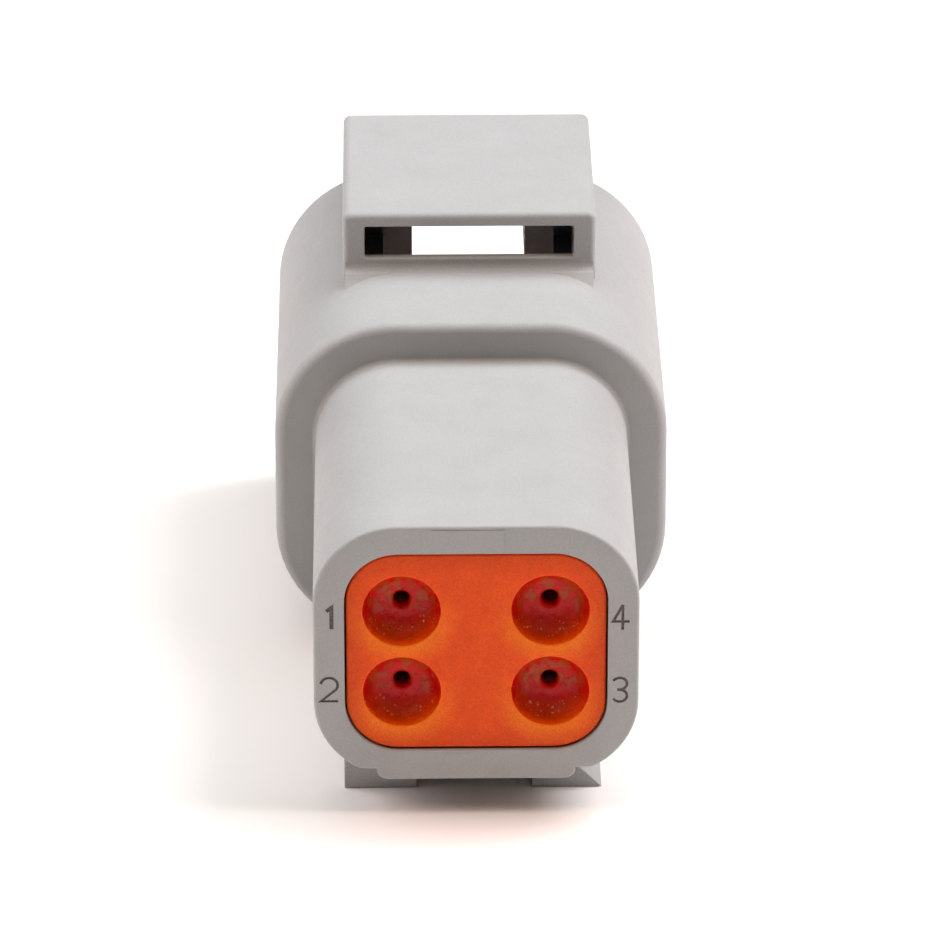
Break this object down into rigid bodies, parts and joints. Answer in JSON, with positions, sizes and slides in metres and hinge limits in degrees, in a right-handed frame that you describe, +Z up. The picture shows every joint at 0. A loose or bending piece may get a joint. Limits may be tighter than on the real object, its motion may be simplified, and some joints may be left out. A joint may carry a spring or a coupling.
{
  "type": "sealed automotive connector",
  "caption": "Sealed rectangular pin receptacle with a moulded shell, rubber wire seal, latch bridge, clip rails, a slide-in contact lock and turned pins.",
  "frame": {"origin": "centre of the bounding box's bottom, on the surface the connector lies on", "axes": "+Y from the wire end to the mating mouth, +Z up through the latch bridge, +X to the right as seen from the wire end"},
  "size_m": [0.019, 0.0366, 0.0199],
  "materials": {
    "housing_plastic": "fine matt moulded thermoplastic, light grey",
    "seal_rubber": "soft satin silicone rubber, orange",
    "lock_plastic": "satin moulded thermoplastic, orange",
    "contact_plating": "satin nickel plate on turned copper alloy"
  },
  "bodies": {
    "receptacle": {"housing": "housing_plastic", "rear_seal": "seal_rubber", "contact_1": "contact_plating", "contact_2": "contact_plating", "contact_3": "contact_plating", "contact_4": "contact_plating"},
    "lock": {"wedge_lock": "lock_plastic"}
  },
  "joints": [
    {"name": "lock_slide", "type": "slide", "parent": "receptacle", "child": "lock", "axis": [0, 1, 0], "range_m": [0, 0.007]}
  ]
}
